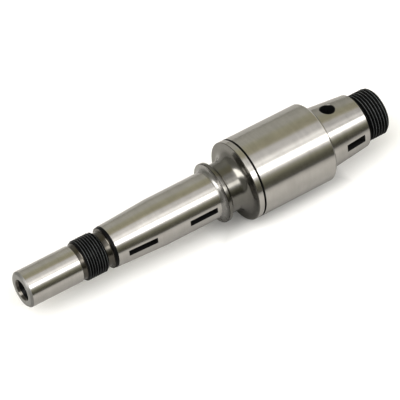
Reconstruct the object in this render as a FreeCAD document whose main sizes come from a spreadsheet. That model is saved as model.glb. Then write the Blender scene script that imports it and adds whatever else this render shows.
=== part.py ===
import FreeCAD, Part
import math
import os
import Sketcher

# Pinion shaft of a twin-cylinder engine, turned and ground from one bar of steel.
#
# The shaft stands on its threaded crank end: that end face is at height 0, and +Z runs along
# the axis to the nose, where the pinion gear's nut and the cover's bush go. The keyseats face
# -Y and the cross oil hole faces +X. All sizes are in millimetres.
#
# From the bottom up: crank end thread, relief, crank taper with its keyseat and cross oil hole,
# main bearing journal, narrow groove, flange, waisted neck, collar, straight gear seat with a
# keyseat, gear taper with a keyseat, unground ring, undercut, left-hand nut thread, relief and
# nose journal. An oil gallery runs down from the nose to the cross hole.

SIZES = {
    # crank end thread, 20 threads to the inch, right hand
    "crank_thread_dia": 19.05,
    "crank_thread_pitch": 1.27,
    "crank_thread_length": 9.0,
    "crank_end_chamfer": 1.1,
    "crank_relief_width": 1.2,
    "crank_relief_depth": 0.925,
    # taper that is drawn into the crank cheek, one in five on the diameter
    "crank_taper_length": 18.9,
    "crank_taper_ratio": 5.0,
    # main bearing journal, its shoulder at the taper, the groove beside it and the flange
    "journal_dia": 31.75,
    "journal_shoulder": 3.175,
    "journal_length": 32.6,
    "journal_chamfer": 0.8,
    "groove_width": 0.72,
    "groove_depth": 1.0,
    "flange_width": 2.38,
    # waisted neck between the flange and the collar; its sweep leaves a flat land by the rim
    "neck_dia": 20.0,
    "neck_length": 9.05,
    "flange_land": 2.075,
    # collar that the oil pump gear sits against, standing out from that gear's seat
    "collar_height": 2.53,
    "collar_width": 1.5,
    "collar_chamfer": 0.15,
    # straight seat for the oil pump gear
    "seat_dia": 18.75,
    "seat_length": 25.15,
    "seat_fillet": 1.3,
    # taper for the pinion gear, and the unground ring at its small end
    "gear_taper_length": 21.2,
    "gear_taper_ratio": 9.68,
    "ring_step": 0.13,
    "ring_width": 1.1,
    "undercut_width": 2.7,
    "undercut_depth": 1.04,
    # thread for the pinion gear's nut, 24 threads to the inch, left hand
    "nut_thread_dia": 15.875,
    "nut_thread_pitch": 1.058,
    "nut_thread_length": 8.8,
    "nut_thread_chamfer": 0.6,
    # nose journal, which turns in the cover's bush, and the relief that leads up to it
    "lead_relief_width": 1.9,
    "lead_relief_depth": 0.295,
    "nose_dia": 14.29,
    "nose_length": 22.3,
    "nose_chamfer": 0.75,
    # oil ways: a centred mouth, the long gallery and the cross hole that it feeds
    "mouth_dia": 8.7,
    "gallery_dia": 6.35,
    "gallery_overrun": 1.0,
    "cross_hole_dia": 6.0,
    "cross_hole_setback": 11.55,
    "cross_hole_edge_break": 0.25,
    # centre hole in the crank end
    "centre_mouth_dia": 6.0,
    "centre_pilot_dia": 2.5,
    "centre_pilot_depth": 5.5,
    # keyseats cut by a round cutter; each setback is measured from the end of its own seat
    "gear_key_width": 2.38,
    "gear_key_cutter_dia": 12.7,
    "gear_key_depth": 4.5,
    "gear_key_setback": 10.34,
    "pump_key_width": 2.38,
    "pump_key_cutter_dia": 12.7,
    "pump_key_depth": 4.4,
    "pump_key_setback": 9.6,
    "crank_key_width": 3.175,
    "crank_key_cutter_dia": 9.525,
    "crank_key_depth": 3.0,
    "crank_key_setback": 6.9,
}

CENTRE_ANGLE = 60.0  # full angle of a lathe centre, degrees
DRILL_ANGLE = 118.0  # full angle of a drill's point, degrees
THREAD_ANGLE = 60.0  # full angle of the thread's vee, degrees
THREAD_DEPTH = 0.7  # depth of the thread's vee in pitches
VEE_OVERSHOOT = 0.1  # how far the vee reaches past the crest in pitches
NEAR = 1e-3  # edges are picked by place within this distance, mm

XZ_PLANE = "XZ_Plane"
YZ_PLANE = "YZ_Plane"


def size(name):
    """Gives the expression that reads one size from the sheet."""
    return "Sizes." + name


def total(*terms):
    """Gives the expression for a sum of expressions."""
    return " + ".join("(%s)" % term for term in terms)


def less(first, *rest):
    """Gives the expression for the first term less all the others."""
    return " - ".join("(%s)" % term for term in (first,) + rest)


def half(term):
    """Gives the expression for half of a term."""
    return "(%s) / 2" % term


# Heights of the shoulders, each the one below plus the length of the segment between them.
RELIEF_FOOT = size("crank_thread_length")
TAPER_FOOT = total(RELIEF_FOOT, size("crank_relief_width"))
JOURNAL_FOOT = total(TAPER_FOOT, size("crank_taper_length"))
GROOVE_FOOT = total(JOURNAL_FOOT, size("journal_length"))
FLANGE_FOOT = total(GROOVE_FOOT, size("groove_width"))
NECK_FOOT = total(FLANGE_FOOT, size("flange_width"))
COLLAR_FOOT = total(NECK_FOOT, size("neck_length"))
SEAT_FOOT = total(COLLAR_FOOT, size("collar_width"))
GEAR_TAPER_FOOT = total(SEAT_FOOT, size("seat_length"))
RING_FOOT = total(GEAR_TAPER_FOOT, size("gear_taper_length"))
UNDERCUT_FOOT = total(RING_FOOT, size("ring_width"))
NUT_THREAD_FOOT = total(UNDERCUT_FOOT, size("undercut_width"))
LEAD_RELIEF_FOOT = total(NUT_THREAD_FOOT, size("nut_thread_length"))
NOSE_FOOT = total(LEAD_RELIEF_FOOT, size("lead_relief_width"))
NOSE_TOP = total(NOSE_FOOT, size("nose_length"))

# Radii that several features share.
CRANK_THREAD_RADIUS = half(size("crank_thread_dia"))
CRANK_RELIEF_RADIUS = less(CRANK_THREAD_RADIUS, size("crank_relief_depth"))
JOURNAL_RADIUS = half(size("journal_dia"))
CRANK_TAPER_BIG_RADIUS = less(JOURNAL_RADIUS, size("journal_shoulder"))
CRANK_TAPER_SMALL_RADIUS = less(CRANK_TAPER_BIG_RADIUS, half("%s / %s" % (
    size("crank_taper_length"), size("crank_taper_ratio"))))
GROOVE_RADIUS = less(JOURNAL_RADIUS, size("groove_depth"))
SEAT_RADIUS = half(size("seat_dia"))
NECK_RADIUS = half(size("neck_dia"))
NECK_SWEEP = less(JOURNAL_RADIUS, NECK_RADIUS, size("flange_land"))
COLLAR_RADIUS = total(SEAT_RADIUS, size("collar_height"))
GEAR_TAPER_SMALL_RADIUS = less(SEAT_RADIUS, half("%s / %s" % (
    size("gear_taper_length"), size("gear_taper_ratio"))))
RING_RADIUS = less(GEAR_TAPER_SMALL_RADIUS, size("ring_step"))
NUT_THREAD_RADIUS = half(size("nut_thread_dia"))
UNDERCUT_RADIUS = less(NUT_THREAD_RADIUS, size("undercut_depth"))
NOSE_RADIUS = half(size("nose_dia"))
LEAD_RELIEF_RADIUS = less(NOSE_RADIUS, size("lead_relief_depth"))
GALLERY_RADIUS = half(size("gallery_dia"))
CROSS_HOLE_HEIGHT = total(TAPER_FOOT, size("cross_hole_setback"))
GEAR_KEY_HEIGHT = less(RING_FOOT, size("gear_key_setback"))
PUMP_KEY_HEIGHT = total(SEAT_FOOT, size("pump_key_setback"))
CRANK_KEY_HEIGHT = total(TAPER_FOOT, size("crank_key_setback"))


def make_sheet(document):
    """Writes the driving sizes to a sheet, each under its own name."""
    sheet = document.addObject("Spreadsheet::Sheet", "Sizes")
    for row, (alias, value) in enumerate(SIZES.items(), start=1):
        sheet.set("A%d" % row, alias.replace("_", " "))
        sheet.set("B%d" % row, str(value))
        sheet.setAlias("B%d" % row, alias)
    document.recompute()
    return sheet


class Shaft:
    """The shaft's body, with one method for each kind of cut."""

    def __init__(self, document, name):
        self.document = document
        self.body = document.addObject("PartDesign::Body", name)
        self.body.Label = name

    def value(self, expression):
        """Works out an expression now, in millimetres."""
        return float(self.document.getObject("Sizes").evalExpression(expression))

    def plane(self, role):
        """Finds one of the body's own origin planes."""
        return next(item for item in self.body.Origin.OriginFeatures if item.Role == role)

    def sketch(self, name, role):
        """Starts a sketch on an origin plane."""
        sketch = self.body.newObject("Sketcher::SketchObject", name)
        sketch.AttachmentSupport = [(self.plane(role), "")]
        sketch.MapMode = "FlatFace"
        return sketch

    def hold(self, sketch, geometry, point, axis, term):
        """Ties one coordinate of a point to an expression, or lays the point on an axis."""
        if term == "0":
            line = -2 if axis == "X" else -1
            sketch.addConstraint(Sketcher.Constraint("PointOnObject", geometry, point, line))
            return
        kind = "Distance" + axis
        start = Sketcher.Constraint(kind, -1, 1, geometry, point, self.value(term))
        index = sketch.addConstraint(start)
        sketch.setExpression("Constraints[%d]" % index, term)

    def outline(self, name, corners):
        """Draws a closed outline of straight lines in the XZ plane, as radius and height."""
        sketch = self.sketch(name, XZ_PLANE)
        places = [FreeCAD.Vector(self.value(across), self.value(up), 0) for across, up in corners]
        count = len(corners)
        for index in range(count):
            line = Part.LineSegment(places[index], places[(index + 1) % count])
            sketch.addGeometry(line, False)
        for index in range(count):
            following = (index + 1) % count
            sketch.addConstraint(Sketcher.Constraint("Coincident", index, 2, following, 1))
        for index, (across, up) in enumerate(corners):
            self.hold(sketch, index, 1, "X", across)
            self.hold(sketch, index, 1, "Y", up)
        return sketch

    def turn(self, name, corners):
        """Turns an outline into the solid blank."""
        sketch = self.outline(name + "_outline", corners)
        feature = self.body.newObject("PartDesign::Revolution", name)
        feature.Profile = sketch
        feature.ReferenceAxis = (sketch, ["V_Axis"])
        feature.Angle = 360
        self.document.recompute()
        return feature

    def groove(self, name, corners):
        """Turns an outline away from the blank."""
        sketch = self.outline(name + "_outline", corners)
        feature = self.body.newObject("PartDesign::Groove", name)
        feature.Profile = sketch
        feature.ReferenceAxis = (sketch, ["V_Axis"])
        feature.Angle = 360
        self.finish_cut(feature)
        return feature

    def finish_cut(self, feature):
        """Recomputes a cut and makes sure that it took material away."""
        before = feature.BaseFeature.Shape.Volume
        self.document.recompute()
        if not feature.Shape.Volume < before:
            raise ValueError("%s cuts nothing" % feature.Name)

    def ring_edge(self, base, radius, height):
        """Finds the name of the round edge of a given radius at a given height."""
        for index, edge in enumerate(base.Shape.Edges, start=1):
            curve = edge.Curve
            if not isinstance(curve, Part.Circle):
                continue
            if abs(curve.Radius - radius) < NEAR and abs(curve.Center.z - height) < NEAR:
                return "Edge%d" % index
        raise ValueError("no round edge of radius %.3f at height %.3f" % (radius, height))

    def round_corner(self, name, across, up, radius):
        """Rounds the corner at a given radius and height."""
        base = self.body.Tip
        edge = self.ring_edge(base, self.value(across), self.value(up))
        feature = self.body.newObject("PartDesign::Fillet", name)
        feature.Base = (base, [edge])
        feature.setExpression("Radius", radius)
        self.document.recompute()
        return feature

    def thread(self, name, thread, start, height, downwards, left_handed):
        """Cuts a screw thread: a vee that climbs a helix from start by height."""
        pitch = size(thread + "_pitch")
        crest = half(size(thread + "_dia"))
        root = less(crest, "%s * %s" % (pitch, THREAD_DEPTH))
        top = total(crest, "%s * %s" % (pitch, VEE_OVERSHOOT))
        slope = math.tan(math.radians(THREAD_ANGLE / 2))
        top_half = "%s * %s" % (pitch, (THREAD_DEPTH + VEE_OVERSHOOT) * slope)
        sketch = self.outline(name + "_vee", [
            (root, start),
            (top, less(start, top_half)),
            (top, total(start, top_half)),
        ])
        feature = self.body.newObject("PartDesign::SubtractiveHelix", name)
        feature.Profile = sketch
        feature.ReferenceAxis = (sketch, ["V_Axis"])
        feature.Mode = "pitch-height-angle"
        feature.setExpression("Pitch", pitch)
        feature.setExpression("Height", height)
        feature.LeftHanded = left_handed
        feature.Reversed = downwards
        self.finish_cut(feature)
        return feature

    def keyseat(self, name, key, surface_radius, height):
        """Sinks a round cutter into the side that faces -Y, as deep as the key needs."""
        cutter_radius = half(size(key + "_cutter_dia"))
        reach = total(less(surface_radius, size(key + "_depth")), cutter_radius)
        sketch = self.sketch(name + "_cutter", YZ_PLANE)
        centre = FreeCAD.Vector(-self.value(reach), self.value(height), 0)
        circle = Part.Circle(centre, FreeCAD.Vector(0, 0, 1), self.value(cutter_radius))
        sketch.addGeometry(circle, False)
        across = sketch.addConstraint(
            Sketcher.Constraint("DistanceX", 0, 3, -1, 1, self.value(reach)))
        sketch.setExpression("Constraints[%d]" % across, reach)
        self.hold(sketch, 0, 3, "Y", height)
        wide = sketch.addConstraint(Sketcher.Constraint("Radius", 0, self.value(cutter_radius)))
        sketch.setExpression("Constraints[%d]" % wide, cutter_radius)
        feature = self.body.newObject("PartDesign::Pocket", name)
        feature.Profile = sketch
        feature.SideType = "Symmetric"
        feature.setExpression("Length", size(key + "_width"))
        self.finish_cut(feature)
        return feature

    def cross_hole(self, name, diameter, height):
        """Drills from the axis out to the side that faces +X."""
        sketch = self.sketch(name + "_circle", YZ_PLANE)
        centre = FreeCAD.Vector(0, self.value(height), 0)
        circle = Part.Circle(centre, FreeCAD.Vector(0, 0, 1), self.value(half(diameter)))
        sketch.addGeometry(circle, False)
        self.hold(sketch, 0, 3, "X", "0")
        self.hold(sketch, 0, 3, "Y", height)
        wide = sketch.addConstraint(Sketcher.Constraint("Diameter", 0, self.value(diameter)))
        sketch.setExpression("Constraints[%d]" % wide, diameter)
        feature = self.body.newObject("PartDesign::Pocket", name)
        feature.Profile = sketch
        feature.Type = "ThroughAll"
        feature.Reversed = True
        self.finish_cut(feature)
        return feature


def blank_corners():
    """Lists the corners of the turned blank, from the crank end up, as radius and height."""
    end_chamfer = size("crank_end_chamfer")
    journal_chamfer = size("journal_chamfer")
    collar_chamfer = size("collar_chamfer")
    nut_chamfer = size("nut_thread_chamfer")
    nose_chamfer = size("nose_chamfer")
    return [
        ("0", "0"),
        (less(CRANK_THREAD_RADIUS, end_chamfer), "0"),
        (CRANK_THREAD_RADIUS, end_chamfer),
        (CRANK_THREAD_RADIUS, RELIEF_FOOT),
        (CRANK_RELIEF_RADIUS, RELIEF_FOOT),
        (CRANK_RELIEF_RADIUS, TAPER_FOOT),
        (CRANK_TAPER_SMALL_RADIUS, TAPER_FOOT),
        (CRANK_TAPER_BIG_RADIUS, JOURNAL_FOOT),
        (less(JOURNAL_RADIUS, journal_chamfer), JOURNAL_FOOT),
        (JOURNAL_RADIUS, total(JOURNAL_FOOT, journal_chamfer)),
        (JOURNAL_RADIUS, GROOVE_FOOT),
        (GROOVE_RADIUS, GROOVE_FOOT),
        (GROOVE_RADIUS, FLANGE_FOOT),
        (JOURNAL_RADIUS, FLANGE_FOOT),
        (JOURNAL_RADIUS, NECK_FOOT),
        (NECK_RADIUS, NECK_FOOT),
        (NECK_RADIUS, COLLAR_FOOT),
        (less(COLLAR_RADIUS, collar_chamfer), COLLAR_FOOT),
        (COLLAR_RADIUS, total(COLLAR_FOOT, collar_chamfer)),
        (COLLAR_RADIUS, less(SEAT_FOOT, collar_chamfer)),
        (less(COLLAR_RADIUS, collar_chamfer), SEAT_FOOT),
        (SEAT_RADIUS, SEAT_FOOT),
        (SEAT_RADIUS, GEAR_TAPER_FOOT),
        (GEAR_TAPER_SMALL_RADIUS, RING_FOOT),
        (RING_RADIUS, RING_FOOT),
        (RING_RADIUS, UNDERCUT_FOOT),
        (UNDERCUT_RADIUS, UNDERCUT_FOOT),
        (UNDERCUT_RADIUS, NUT_THREAD_FOOT),
        (less(NUT_THREAD_RADIUS, nut_chamfer), NUT_THREAD_FOOT),
        (NUT_THREAD_RADIUS, total(NUT_THREAD_FOOT, nut_chamfer)),
        (NUT_THREAD_RADIUS, less(LEAD_RELIEF_FOOT, nut_chamfer)),
        (less(NUT_THREAD_RADIUS, nut_chamfer), LEAD_RELIEF_FOOT),
        (LEAD_RELIEF_RADIUS, LEAD_RELIEF_FOOT),
        (LEAD_RELIEF_RADIUS, NOSE_FOOT),
        (NOSE_RADIUS, NOSE_FOOT),
        (NOSE_RADIUS, less(NOSE_TOP, nose_chamfer)),
        (less(NOSE_RADIUS, nose_chamfer), NOSE_TOP),
        ("0", NOSE_TOP),
    ]


def cone_depth(wide, narrow, full_angle):
    """Gives the expression for a cone's depth between two diameters."""
    slope = 2 * math.tan(math.radians(full_angle / 2))
    return "(%s - %s) / %s" % (wide, narrow, slope)


def round_corners(shaft):
    """Rounds the corners that the turning tool leaves round."""
    shaft.round_corner("neck_sweep", NECK_RADIUS, NECK_FOOT, NECK_SWEEP)
    shaft.round_corner("seat_corner", SEAT_RADIUS, SEAT_FOOT, size("seat_fillet"))


def cut_oil_ways(shaft):
    """Bores the gallery from the nose down to the cross hole, and centres the crank end."""
    mouth_foot = less(NOSE_TOP, cone_depth(size("mouth_dia"), size("gallery_dia"), CENTRE_ANGLE))
    hole_foot = less(CROSS_HOLE_HEIGHT, half(size("cross_hole_dia")))
    floor = less(hole_foot, size("gallery_overrun"))
    shaft.groove("oil_gallery", [
        ("0", NOSE_TOP),
        ("0", less(floor, cone_depth(size("gallery_dia"), "0", DRILL_ANGLE))),
        (GALLERY_RADIUS, floor),
        (GALLERY_RADIUS, mouth_foot),
        (half(size("mouth_dia")), NOSE_TOP),
    ])
    pilot_radius = half(size("centre_pilot_dia"))
    pilot_top = size("centre_pilot_depth")
    cone_top = cone_depth(size("centre_mouth_dia"), size("centre_pilot_dia"), CENTRE_ANGLE)
    shaft.groove("centre_hole", [
        ("0", "0"),
        (half(size("centre_mouth_dia")), "0"),
        (pilot_radius, cone_top),
        (pilot_radius, pilot_top),
        ("0", total(pilot_top, cone_depth(size("centre_pilot_dia"), "0", DRILL_ANGLE))),
    ])
    shaft.cross_hole("cross_hole", size("cross_hole_dia"), CROSS_HOLE_HEIGHT)


def break_cross_hole_edge(shaft):
    """Breaks the outer edge of the cross hole, where the pin's oil feed meets it."""
    base = shaft.body.Tip
    gallery_radius = shaft.value(GALLERY_RADIUS)
    height = shaft.value(CROSS_HOLE_HEIGHT)
    bore_radius = shaft.value(half(size("cross_hole_dia")))
    low = height - bore_radius - NEAR
    high = height + bore_radius + NEAR
    rim = []
    for index, edge in enumerate(base.Shape.Edges, start=1):
        box = edge.BoundBox
        if box.XMin > gallery_radius and box.ZMin > low and box.ZMax < high:
            rim.append("Edge%d" % index)
    feature = shaft.body.newObject("PartDesign::Chamfer", "cross_hole_edge")
    feature.Base = (base, rim)
    feature.setExpression("Size", size("cross_hole_edge_break"))
    shaft.finish_cut(feature)


def surface_between(low_radius, high_radius, foot, length, height):
    """Gives the expression for the radius of a taper at a height."""
    rise = "(%s) / %s" % (less(height, foot), length)
    return total(low_radius, "(%s) * %s" % (less(high_radius, low_radius), rise))


def cut_keyseats(shaft):
    """Sinks the three keyseats, all in line on the side that faces -Y."""
    gear_surface = surface_between(
        SEAT_RADIUS, GEAR_TAPER_SMALL_RADIUS,
        GEAR_TAPER_FOOT, size("gear_taper_length"), GEAR_KEY_HEIGHT)
    crank_surface = surface_between(
        CRANK_TAPER_SMALL_RADIUS, CRANK_TAPER_BIG_RADIUS,
        TAPER_FOOT, size("crank_taper_length"), CRANK_KEY_HEIGHT)
    shaft.keyseat("gear_keyseat", "gear_key", gear_surface, GEAR_KEY_HEIGHT)
    shaft.keyseat("pump_keyseat", "pump_key", SEAT_RADIUS, PUMP_KEY_HEIGHT)
    shaft.keyseat("crank_keyseat", "crank_key", crank_surface, CRANK_KEY_HEIGHT)


def cut_threads(shaft):
    """Cuts both threads, each from the middle of one relief out past its other end."""
    crank_start = total(RELIEF_FOOT, half(size("crank_relief_width")))
    shaft.thread("crank_thread", "crank_thread", crank_start,
                 total(crank_start, size("crank_thread_pitch")), True, False)
    nut_start = less(NUT_THREAD_FOOT, half(size("undercut_width")))
    nut_end = total(LEAD_RELIEF_FOOT, half(size("lead_relief_width")))
    shaft.thread("nut_thread", "nut_thread", nut_start, less(nut_end, nut_start), False, True)


def check_document(document, shape):
    """Stops if any feature failed, or if the shaft isn't one sound solid."""
    for item in document.Objects:
        if "Invalid" in item.State or "Error" in item.State:
            raise ValueError("%s is %s" % (item.Name, item.State))
    if shape.isNull() or not shape.isValid() or len(shape.Solids) != 1:
        raise ValueError("the shaft isn't one sound solid")


def main():
    """Builds the shaft and writes it out."""
    document = FreeCAD.newDocument("PinionShaft")
    make_sheet(document)
    shaft = Shaft(document, "pinion_shaft")
    shaft.turn("turned_blank", blank_corners())
    round_corners(shaft)
    cut_oil_ways(shaft)
    break_cross_hole_edge(shaft)
    cut_keyseats(shaft)
    cut_threads(shaft)
    shaft.body.Placement = FreeCAD.Placement(FreeCAD.Vector(0, 0, 0), FreeCAD.Rotation())
    document.recompute()
    shape = shaft.body.Shape
    check_document(document, shape)
    os.makedirs("parts", exist_ok=True)
    shape.exportStep(os.path.join("parts", shaft.body.Label + ".step"))
    box = shape.optimalBoundingBox(False)
    print("%s: %.1f x %.1f x %.1f mm, %.0f mm3, %d faces" % (
        shaft.body.Label, box.XLength, box.YLength, box.ZLength, shape.Volume, len(shape.Faces)))


main()
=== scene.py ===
"""Looks of the pinion shaft: its finished surfaces, the studio around it and the camera.

The shaft stands on its threaded crank end, with the nose up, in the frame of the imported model.
In the photograph it lies on a white table, so the table is a stage plane that touches the side of
the main journal, and the camera is rolled to see the shaft lie as it does there.
"""

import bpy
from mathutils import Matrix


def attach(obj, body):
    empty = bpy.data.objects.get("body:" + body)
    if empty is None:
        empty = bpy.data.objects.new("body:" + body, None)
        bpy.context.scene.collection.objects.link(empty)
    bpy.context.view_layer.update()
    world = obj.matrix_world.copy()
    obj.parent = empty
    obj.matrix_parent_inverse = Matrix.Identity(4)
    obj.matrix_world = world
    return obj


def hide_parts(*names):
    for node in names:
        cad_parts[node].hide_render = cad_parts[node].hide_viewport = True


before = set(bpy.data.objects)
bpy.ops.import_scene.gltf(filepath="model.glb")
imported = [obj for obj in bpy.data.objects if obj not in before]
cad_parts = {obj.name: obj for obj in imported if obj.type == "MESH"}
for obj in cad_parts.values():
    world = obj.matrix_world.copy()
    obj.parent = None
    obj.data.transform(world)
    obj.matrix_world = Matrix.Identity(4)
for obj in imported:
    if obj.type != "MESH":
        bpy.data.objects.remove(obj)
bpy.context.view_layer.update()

import logging
import math
from dataclasses import dataclass, field
from enum import Enum

import bmesh
import bpy
from mathutils import Matrix, Vector

log = logging.getLogger("pinion_shaft")

MM = 0.001
NODE = "pinion_shaft"
CLIP_END = 20.0  # how far the camera sees, m
UP = Vector((0.0, 0.0, 1.0))
SEGMENTS = 240  # columns of points round the shaft
CUTTER_SEGMENTS = 160  # sides of a keyseat cutter's disc
LARGEST_SMALL_ROUND = 0.5  # largest ease of a round that has few rows, mm
SMALL_ROUND_STEPS = 3
WELD = 1e-7  # points closer than this are one, m
FILLET_STEP = math.radians(7.0)  # turn from one row of a large round to the next
SHARP_TURN = math.radians(33.0)  # edges that turn by more than this are sharp
CAMERA_SIDE = math.radians(-46.0)  # angle round the axis of the side that faces the camera


class Finish(Enum):
    """The finishes that the shaft's surfaces have."""

    GROUND = "ground_steel"
    FACED = "faced_steel"
    CHAMFER = "chamfered_steel"
    TURNED = "turned_steel"
    RELIEF = "relieved_steel"
    BLACKED = "blacked_steel"
    CREST = "thread_crest"
    POCKET = "keyseat_wall"


class Hand(Enum):
    """Which way a screw thread climbs."""

    RIGHT = 1
    LEFT = -1


@dataclass(frozen=True)
class Corner:
    """One corner of the turned outline, in millimetres.

    Attributes:
        radius: distance from the shaft's axis.
        height: distance above the crank end's face.
        finish: finish of the surface that runs from here to the next corner.
        ease: how far along each side the corner is rounded back.
        edge: finish of that round, where it differs from the next surface's.
    """

    radius: float
    height: float
    finish: Finish
    ease: float = 0.0
    edge: Finish | None = None


@dataclass(frozen=True)
class ScrewThread:
    """An external screw thread on a stretch of the shaft, in millimetres.

    Attributes:
        foot: height where the threaded stretch starts.
        top: height where it ends.
        crest: radius over the crests.
        pitch: distance between neighbouring crests.
        hand: which way the thread climbs.
        crest_height: height of one crest on the side that faces the camera.
        foot_chamfer: chamfer at the foot.
        top_chamfer: chamfer at the top.
    """

    foot: float
    top: float
    crest: float
    pitch: float
    hand: Hand
    crest_height: float
    foot_chamfer: float
    top_chamfer: float

    # the form's depth, and half of its root's and its crest's flat, in pitches
    DEPTH = 0.6134
    ROOT_HALF = 0.075
    CREST_HALF = 0.0625
    # where the rows of points lie in one turn of the form, from root to root
    PHASES = (0.0, 0.05, 0.1, 0.2, 0.32, 0.43, 0.46, 0.5, 0.54, 0.57, 0.68, 0.8, 0.9, 0.95)
    WORN_CREST = (0.46, 0.54)  # the rows between these phases have the crest's finish

    @property
    def turns(self) -> float:
        """How many pitches the stretch is long."""
        return (self.top - self.foot) / self.pitch

    def phase(self, height: float, angle: float) -> float:
        """Gives the place in the thread's form, in pitches from a root.

        Args:
            height: height above the crank end's face, mm.
            angle: angle round the axis, radians.

        Returns:
            0 at the middle of a root and 0.5 at the middle of a crest.
        """
        climbed = self.hand.value * (angle - CAMERA_SIDE) / (2 * math.pi)
        return ((height - self.crest_height) / self.pitch - climbed + 0.5) % 1.0

    def radius(self, height: float, angle: float) -> float:
        """Gives the radius of the thread's surface at a height and angle, mm."""
        from_root = 0.5 - abs(self.phase(height, angle) - 0.5)
        rise = (from_root - self.ROOT_HALF) / (0.5 - self.CREST_HALF - self.ROOT_HALF)
        rise = min(max(rise, 0.0), 1.0)
        radius = self.crest - self.pitch * self.DEPTH * (1.0 - rise)
        foot_cone = self.crest - self.foot_chamfer + (height - self.foot)
        top_cone = self.crest - self.top_chamfer + (self.top - height)
        return min(radius, foot_cone, top_cone)


@dataclass
class LatheMesh:
    """Rows of points round the axis, joined into one closed skin.

    Attributes:
        rows: one list of points for each row, mm.
        skins: finish of the faces between each row and the next.
        seams: for each row, the row that its last point joins at the first angle.
    """

    rows: list[list[Vector]] = field(default_factory=list)
    skins: list[Finish] = field(default_factory=list)
    seams: list[int] = field(default_factory=list)

    def add_ring(self, radius: float, height: float, skin: Finish) -> None:
        """Adds a plain ring.

        Args:
            radius: the ring's radius, mm.
            height: the ring's height, mm.
            skin: finish of the faces that follow it.
        """
        row = [
            Vector((radius * math.cos(angle), radius * math.sin(angle), height))
            for angle in self.angles()
        ]
        self.seams.append(len(self.rows))
        self.rows.append(row)
        self.skins.append(skin)

    def add_thread(self, thread: ScrewThread) -> None:
        """Adds the rows of a screw thread, which climb with it and stop at its two ends.

        Args:
            thread: the thread to add.
        """
        first = len(self.rows)
        per_turn = len(thread.PHASES)
        turns = math.ceil(thread.turns) + 1
        count = turns * per_turn + 1
        lead = thread.hand.value * thread.pitch
        base_phase = thread.phase(thread.foot, 0.0)
        # right-hand rows climb round the shaft, so they start a pitch lower than left-hand ones
        below = 2.0 if thread.hand is Hand.RIGHT else 1.0
        last = first + count + per_turn - 1
        for index in range(count + per_turn):
            whole, part = divmod(index, per_turn)
            offset = (whole + thread.PHASES[part] - base_phase - below + 1.0) * thread.pitch
            row = []
            for step, angle in enumerate(self.angles()):
                height = thread.foot + offset + lead * step / SEGMENTS
                height = min(max(height, thread.foot), thread.top)
                radius = thread.radius(height, angle)
                row.append(Vector((radius * math.cos(angle), radius * math.sin(angle), height)))
            joined = len(self.rows) + thread.hand.value * per_turn
            self.seams.append(min(max(joined, first), last))
            self.rows.append(row)
            on_crest = thread.WORN_CREST[0] <= thread.PHASES[part] < thread.WORN_CREST[1]
            self.skins.append(Finish.CREST if on_crest else Finish.BLACKED)

    @staticmethod
    def angles() -> list[float]:
        """Gives the angle of each column of points, radians."""
        return [2 * math.pi * step / SEGMENTS for step in range(SEGMENTS)]

    def build(self, name: str, order: list[Finish]) -> bpy.types.Mesh:
        """Joins the rows into a closed mesh.

        Args:
            name: the mesh's name.
            order: the finishes in the order of the mesh's material slots.

        Returns:
            The mesh, in metres.
        """
        shape = bmesh.new()
        rows = [[shape.verts.new(point * MM) for point in row] for row in self.rows]
        for index in range(len(rows) - 1):
            low, high = rows[index], rows[index + 1]
            low_end, high_end = rows[self.seams[index]][0], rows[self.seams[index + 1]][0]
            for step in range(SEGMENTS):
                after = step + 1
                low_next = low[after] if after < SEGMENTS else low_end
                high_next = high[after] if after < SEGMENTS else high_end
                corners = [low[step], low_next, high_next, high[step]]
                if len(set(corners)) < len(corners):
                    continue
                face = shape.faces.new(corners)
                face.material_index = order.index(self.skins[index])
                face.smooth = True
        bmesh.ops.remove_doubles(shape, verts=shape.verts, dist=WELD)
        bmesh.ops.recalc_face_normals(shape, faces=shape.faces)
        mesh = bpy.data.meshes.new(name)
        shape.to_mesh(mesh)
        shape.free()
        return mesh


def eased_corner(before: Corner, here: Corner, after: Corner) -> list[tuple[float, float]]:
    """Rounds one corner of the outline with an arc that meets both of its sides.

    Args:
        before: the corner before it.
        here: the corner to round.
        after: the corner after it.

    Returns:
        The arc's points as radius and height, mm.
    """
    point = Vector((here.radius, here.height))
    if here.ease <= 0.0:
        return [(here.radius, here.height)]
    back = (Vector((before.radius, before.height)) - point).normalized()
    ahead = (Vector((after.radius, after.height)) - point).normalized()
    opening = back.angle(ahead)
    centre = point + (back + ahead).normalized() * here.ease / math.cos(opening / 2)
    start = point + back * here.ease - centre
    end = point + ahead * here.ease - centre
    sweep = start.angle(end)
    steps = max(SMALL_ROUND_STEPS, round(sweep / FILLET_STEP))
    if here.ease <= LARGEST_SMALL_ROUND:
        steps = SMALL_ROUND_STEPS
    points = []
    for step in range(steps + 1):
        share = step / steps
        weight_start = math.sin((1 - share) * sweep) / math.sin(sweep)
        weight_end = math.sin(share * sweep) / math.sin(sweep)
        place = centre + start * weight_start + end * weight_end
        points.append((place.x, place.y))
    return points


@dataclass
class Keyseat:
    """A keyseat sunk by a round cutter into the side that faces -Y, in millimetres.

    Attributes:
        width: the key's width.
        cutter: the cutter's radius.
        floor: distance of the seat's lowest point from the axis.
        height: height of its middle.
    """

    width: float
    cutter: float
    floor: float
    height: float

    def add_to(self, shape: bmesh.types.BMesh, index: int) -> None:
        """Adds the cutter's disc to a mesh of cutters.

        Args:
            shape: the mesh of cutters.
            index: the material index of the seat's walls.
        """
        place = Matrix.Translation(Vector((0.0, -(self.floor + self.cutter), self.height)) * MM)
        turn = Matrix.Rotation(math.pi / 2, 4, "Y")
        made = bmesh.ops.create_cone(
            shape, cap_ends=True, segments=CUTTER_SEGMENTS, radius1=self.cutter * MM,
            radius2=self.cutter * MM, depth=self.width * MM, matrix=place @ turn)
        for face in {face for vert in made["verts"] for face in vert.link_faces}:
            face.material_index = index


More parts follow.
